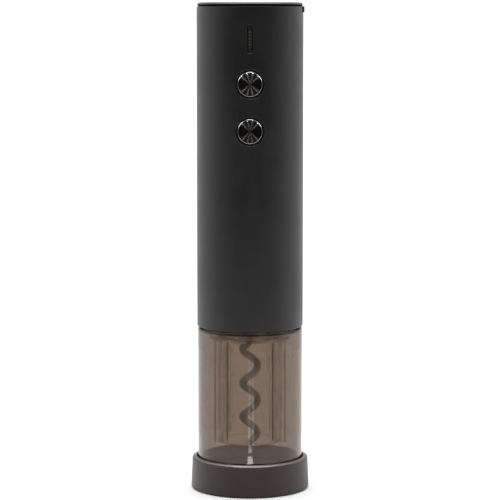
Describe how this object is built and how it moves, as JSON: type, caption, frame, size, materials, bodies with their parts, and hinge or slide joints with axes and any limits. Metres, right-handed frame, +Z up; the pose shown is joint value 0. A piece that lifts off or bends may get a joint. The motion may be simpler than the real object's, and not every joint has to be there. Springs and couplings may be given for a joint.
{
  "type": "electric wine opener",
  "caption": "Upright cordless corkscrew: round body with push buttons over a smoky clear sleeve, a motor-driven worm inside, standing in a ring base with foil-cutting wheels.",
  "frame": {"origin": "centre of the base's underside, on the axis of the worm", "axes": "+Z up along the worm's axis, -Y towards the front with the buttons, +X towards the charging socket"},
  "size_m": [0.056, 0.056, 0.2295],
  "materials": {
    "soft_black": "fine soft-touch coat, satin at a glancing angle",
    "base_plastic": "fine matt moulded plastic, warm black",
    "smoke_clear": "smoky brown clear plastic, glossy",
    "black_nickel": "spun black nickel, fine rings",
    "bright_trim": "polished",
    "worm_coating": "dark non-stick coat, satin",
    "steel": "plain machined",
    "brass": "machined",
    "white_nylon": "moulded, off-white",
    "board_green": "solder mask",
    "cell_wrap": "shrink sleeve",
    "black_plastic": "moulded",
    "frame_plastic": "moulded",
    "dark_lens": "smoked, glossy",
    "flap_rubber": "soft silicone, matt",
    "red_sheath": "silicone wire sheath",
    "black_sheath": "silicone wire sheath"
  },
  "bodies": {
    "base": {"base_shell": "base_plastic", "base_cover": "base_plastic", "base_screw_1": "steel", "base_screw_2": "steel", "cutter_pin_1": "steel", "cutter_pin_2": "steel", "cutter_pin_3": "steel", "cutter_pin_4": "steel"},
    "opener": {"clear_sleeve": "smoke_clear", "cork_tube": "smoke_clear", "lower_collar": "black_plastic", "gearbox_nose": "black_plastic", "output_bush": "brass", "ring_gear": "white_nylon", "motor_plate": "steel", "motor_screw_1": "steel", "motor_screw_2": "steel", "gearbox_screw_1": "steel", "gearbox_screw_2": "steel", "gearbox_screw_3": "steel", "motor_can": "steel", "motor_end_cap": "black_plastic", "inner_frame": "frame_plastic", "battery_cell": "cell_wrap", "cell_tab_bottom": "steel", "cell_tab_top": "steel", "control_board": "board_green", "upper_bezel": "bright_trim", "upper_switch": "black_plastic", "lower_bezel": "bright_trim", "lower_switch": "black_plastic", "indicator_lens": "dark_lens", "light_bar": "white_nylon", "port_board": "board_green", "charge_port": "bright_trim", "housing_shell": "soft_black", "top_cap": "soft_black", "motor_lead_red": "red_sheath", "motor_lead_black": "black_sheath", "cell_lead_red": "red_sheath", "cell_lead_black": "black_sheath"},
    "worm": {"corkscrew": "worm_coating", "worm_chuck": "steel", "output_carrier": "steel"},
    "first_stage": {"first_carrier": "steel"},
    "motor_rotor": {"motor_shaft": "steel", "motor_pinion": "brass"},
    "upper_button": {"upper_button": "black_nickel"},
    "lower_button": {"lower_button": "black_nickel"},
    "port_flap": {"port_flap": "flap_rubber"},
    "output_planet_1": {"output_planet_1": "white_nylon"},
    "output_planet_2": {"output_planet_2": "white_nylon"},
    "output_planet_3": {"output_planet_3": "white_nylon"},
    "first_planet_1": {"first_planet_1": "white_nylon"},
    "first_planet_2": {"first_planet_2": "white_nylon"},
    "first_planet_3": {"first_planet_3": "white_nylon"},
    "cutter_1": {"cutter_wheel_1": "steel"},
    "cutter_2": {"cutter_wheel_2": "steel"},
    "cutter_3": {"cutter_wheel_3": "steel"},
    "cutter_4": {"cutter_wheel_4": "steel"}
  },
  "joints": [
    {"name": "opener_lift", "type": "slide", "parent": "base", "child": "opener", "axis": [0, 0, 1], "range_m": [0, 0.06]},
    {"name": "upper_press", "type": "slide", "parent": "opener", "child": "upper_button", "axis": [0, 1, 0], "range_m": [0, 0.0007], "stiffness_N_per_m": 600, "springref_m": -0.0008},
    {"name": "lower_press", "type": "slide", "parent": "opener", "child": "lower_button", "axis": [0, 1, 0], "range_m": [0, 0.0007], "stiffness_N_per_m": 600, "springref_m": -0.0008},
    {"name": "flap_swing", "type": "hinge", "parent": "opener", "child": "port_flap", "pos_m": [0.02525, 0.005, 0.2263], "axis": [0, 0, 1], "range_deg": [0, 100]},
    {"name": "worm_spin", "type": "hinge", "parent": "opener", "child": "worm", "pos_m": [0, 0, 0.0825], "axis": [0, 0, 1], "continuous": true},
    {"name": "first_stage_spin", "type": "hinge", "parent": "opener", "child": "first_stage", "pos_m": [0, 0, 0.1015], "axis": [0, 0, 1], "continuous": true},
    {"name": "motor_spin", "type": "hinge", "parent": "opener", "child": "motor_rotor", "pos_m": [0, 0, 0.1225], "axis": [0, 0, 1], "continuous": true},
    {"name": "output_planet_1_spin", "type": "hinge", "parent": "worm", "child": "output_planet_1", "pos_m": [0.0108, 0, 0.096], "axis": [0, 0, 1], "continuous": true},
    {"name": "output_planet_2_spin", "type": "hinge", "parent": "worm", "child": "output_planet_2", "pos_m": [-0.0054, 0.00935, 0.096], "axis": [0, 0, 1], "continuous": true},
    {"name": "output_planet_3_spin", "type": "hinge", "parent": "worm", "child": "output_planet_3", "pos_m": [-0.0054, -0.00935, 0.096], "axis": [0, 0, 1], "continuous": true},
    {"name": "first_planet_1_spin", "type": "hinge", "parent": "first_stage", "child": "first_planet_1", "pos_m": [0.0108, 0, 0.1063], "axis": [0, 0, 1], "continuous": true},
    {"name": "first_planet_2_spin", "type": "hinge", "parent": "first_stage", "child": "first_planet_2", "pos_m": [-0.0054, 0.00935, 0.1063], "axis": [0, 0, 1], "continuous": true},
    {"name": "first_planet_3_spin", "type": "hinge", "parent": "first_stage", "child": "first_planet_3", "pos_m": [-0.0054, -0.00935, 0.1063], "axis": [0, 0, 1], "continuous": true},
    {"name": "cutter_1_spin", "type": "hinge", "parent": "base", "child": "cutter_1", "pos_m": [0.0199, 0, 0.0038], "axis": [0, 0, 1], "continuous": true},
    {"name": "cutter_2_spin", "type": "hinge", "parent": "base", "child": "cutter_2", "pos_m": [0, 0.0199, 0.0038], "axis": [0, 0, 1], "continuous": true},
    {"name": "cutter_3_spin", "type": "hinge", "parent": "base", "child": "cutter_3", "pos_m": [-0.0199, 0, 0.0038], "axis": [0, 0, 1], "continuous": true},
    {"name": "cutter_4_spin", "type": "hinge", "parent": "base", "child": "cutter_4", "pos_m": [0, -0.0199, 0.0038], "axis": [0, 0, 1], "continuous": true}
  ],
  "couplings": [
    {"joint": "first_stage_spin", "follows": "worm_spin", "ratio": 4.5},
    {"joint": "motor_spin", "follows": "worm_spin", "ratio": 20.25},
    {"joint": "output_planet_1_spin", "follows": "worm_spin", "ratio": -2.8},
    {"joint": "output_planet_2_spin", "follows": "worm_spin", "ratio": -2.8},
    {"joint": "output_planet_3_spin", "follows": "worm_spin", "ratio": -2.8},
    {"joint": "first_planet_1_spin", "follows": "worm_spin", "ratio": -12.6},
    {"joint": "first_planet_2_spin", "follows": "worm_spin", "ratio": -12.6},
    {"joint": "first_planet_3_spin", "follows": "worm_spin", "ratio": -12.6}
  ]
}
